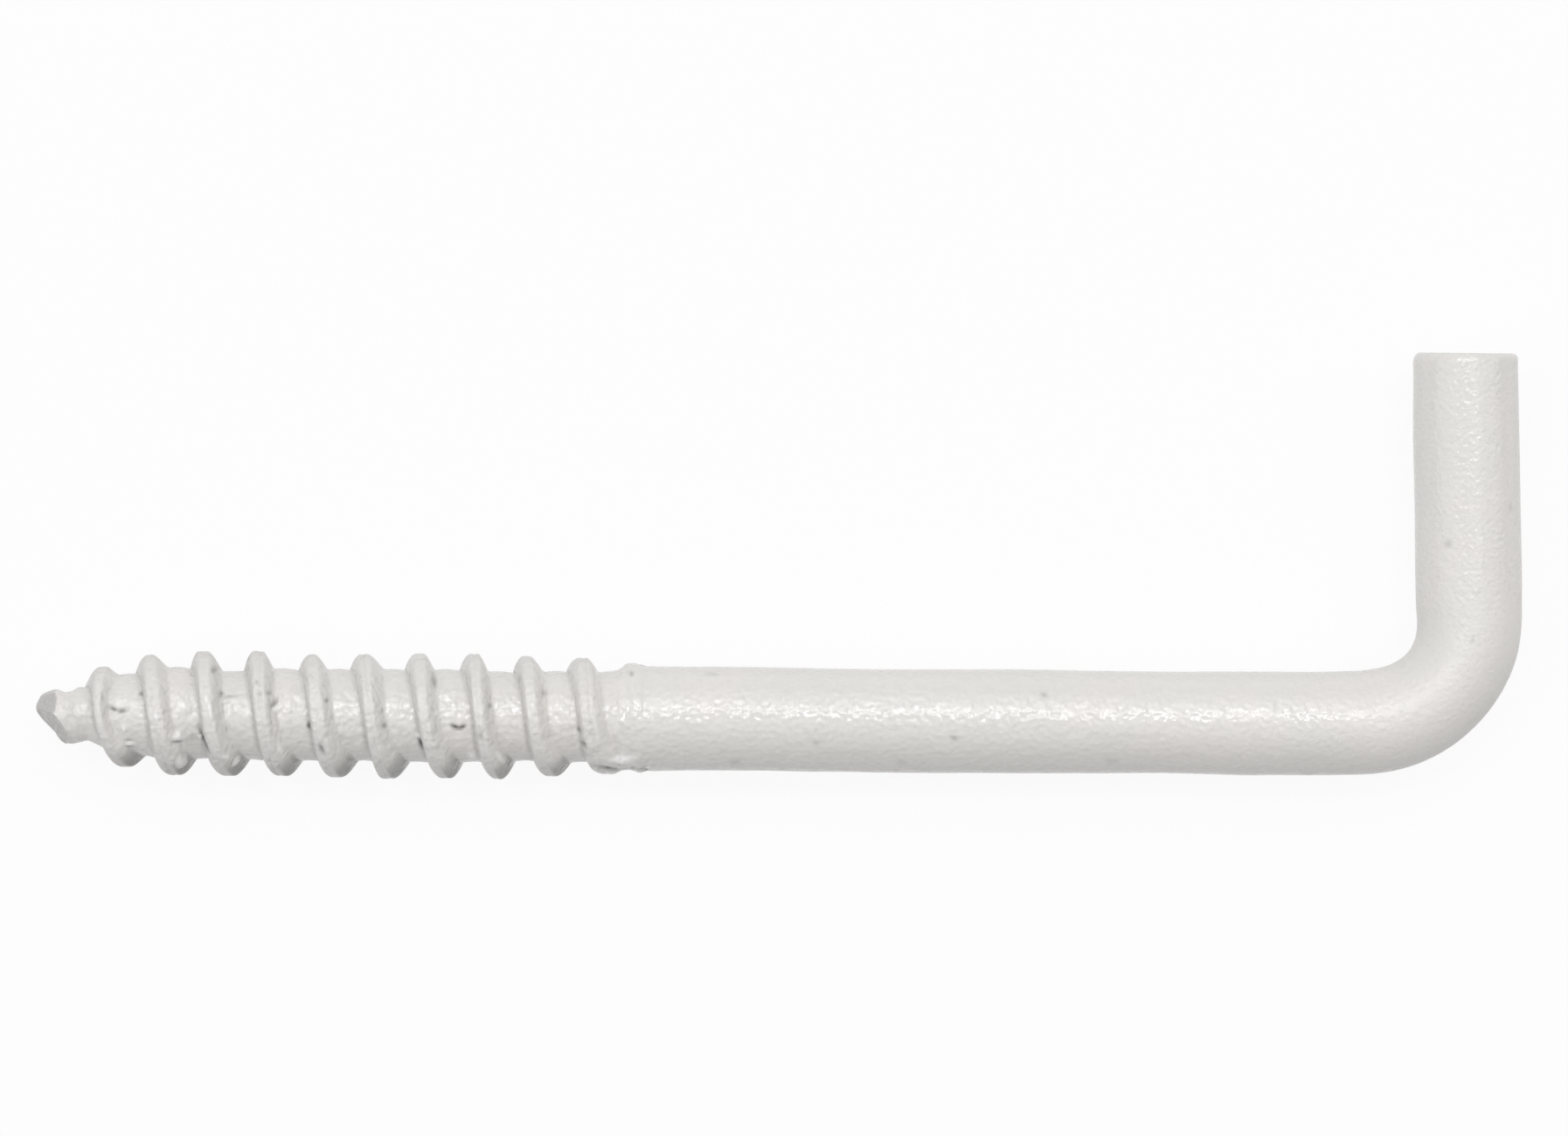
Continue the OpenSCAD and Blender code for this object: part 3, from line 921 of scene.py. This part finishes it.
def paint_material():
    """Gloss white paint, laid on thick."""
    material = bpy.data.materials.new("white_paint")
    material.use_nodes = True
    tree = material.node_tree
    shader = tree.nodes["Principled BSDF"]
    place = tree.nodes.new("ShaderNodeTexCoord").outputs["Object"]
    axes = tree.nodes.new("ShaderNodeSeparateXYZ")
    tree.links.new(place, axes.inputs[0])
    x = axes.outputs["X"]
    lumps = noise(tree, place, LUMP_SIZE, LUMP_DETAIL)
    tree.links.new(paint_color(tree, place), shader.inputs["Base Color"])
    tree.links.new(paint_roughness(tree, x, lumps), shader.inputs["Roughness"])
    tree.links.new(paint_bumps(tree, place, x, lumps), shader.inputs["Normal"])
    shader.inputs["IOR"].default_value = PAINT_IOR
    return material


hook.data.materials.append(paint_material())


# ------------------------------------------------------------------------ floor and light

FLOOR = (0.8, 0.8, 0.8, 1.0)
FLOOR_ROUGHNESS = 0.9
FLOOR_HALF = 1.5
FLOOR_GLOW = 0.92
WHITE, WARM, COOL = (1.0, 1.0, 1.0), (1.0, 0.985, 0.965), (0.965, 0.985, 1.0)


def floor_material():
    """White card, mostly white by itself to the eye, so that the shadow on it stays faint."""
    material = bpy.data.materials.new("floor_white")
    material.use_nodes = True
    tree = material.node_tree
    card = tree.nodes["Principled BSDF"]
    card.inputs["Base Color"].default_value = FLOOR
    card.inputs["Roughness"].default_value = FLOOR_ROUGHNESS
    white = tree.nodes.new("ShaderNodeEmission")
    white.inputs["Color"].default_value = (*WHITE, 1.0)
    white.inputs["Strength"].default_value = 1.0
    path = tree.nodes.new("ShaderNodeLightPath")
    seen = path.outputs["Is Camera Ray"]
    for name in ("Is Glossy Ray", "Is Transmission Ray"):
        seen = calculate(tree, "MAXIMUM", seen, path.outputs[name])
    mixed = tree.nodes.new("ShaderNodeMixShader")
    tree.links.new(calculate(tree, "MULTIPLY", seen, FLOOR_GLOW), mixed.inputs[0])
    tree.links.new(card.outputs[0], mixed.inputs[1])
    tree.links.new(white.outputs[0], mixed.inputs[2])
    tree.links.new(mixed.outputs[0], tree.nodes["Material Output"].inputs["Surface"])
    return material


def make_floor():
    half, z = FLOOR_HALF, cad_low.z
    corners = [(-half, -half, z), (half, -half, z), (half, half, z), (-half, half, z)]
    mesh = bpy.data.meshes.new("floor")
    mesh.from_pydata(corners, [], [(0, 1, 2, 3)])
    floor = bpy.data.objects.new("floor", mesh)
    bpy.context.scene.collection.objects.link(floor)
    floor.data.materials.append(floor_material())


make_floor()


# Round soft lamps, all at one distance: tilt from straight above towards the arm's side of the
# picture and towards its top, half width as seen from the hook, strength, colour. A strength of 1
# lights a level white card to white.
LAMP_DISTANCE = 0.7
LAMPS = {
    "key_left": (-18.0, 19.0, 5.0, 0.108, WHITE),
    "key_middle": (0.0, 19.0, 5.0, 0.056, WHITE),
    "key_right": (14.0, 19.0, 5.0, 0.080, WHITE),
    "key_arm": (17.0, 2.0, 7.0, 0.030, WHITE),
    "top": (0.0, 0.0, 34.0, 0.206, WHITE),
    "back": (0.0, 30.0, 16.0, 0.125, WHITE),
    "far_back": (0.0, 50.0, 20.0, 0.058, WHITE),
    "left": (-52.0, 0.0, 24.0, 0.178, COOL),
    "right_back": (52.0, 30.0, 18.0, 0.132, WARM),
}
WORLD_LIGHT = 0.204


def make_lights():
    """Small key lamps for the highlights, softened by broad lamps and an even room."""
    world = bpy.data.worlds.new("world")
    world.use_nodes = True
    room = world.node_tree.nodes["Background"]
    room.inputs["Color"].default_value = (*WHITE, 1.0)
    room.inputs["Strength"].default_value = WORLD_LIGHT
    bpy.context.scene.world = world
    centre = (cad_low + cad_high) / 2
    for name, (tilt_x, tilt_y, half, strength, color) in LAMPS.items():
        way = Vector((math.tan(math.radians(tilt_x)), math.tan(math.radians(tilt_y)), 1.0))
        way.normalize()
        half = math.radians(half)
        data = bpy.data.lights.new(name, "AREA")
        data.shape = "DISK"
        data.size = 2 * LAMP_DISTANCE * math.tan(half)
        data.energy = strength * (math.pi * LAMP_DISTANCE / math.cos(half)) ** 2
        data.color = color
        lamp = bpy.data.objects.new(name, data)
        bpy.context.scene.collection.objects.link(lamp)
        lamp.location = centre + way * LAMP_DISTANCE
        lamp.rotation_euler = (-way).to_track_quat("-Z", "Y").to_euler()


make_lights()

bpy.context.scene.view_settings.view_transform = "Standard"


# ----------------------------------------------------------------------------- hand over

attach(hook, "root")
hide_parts(NODE)
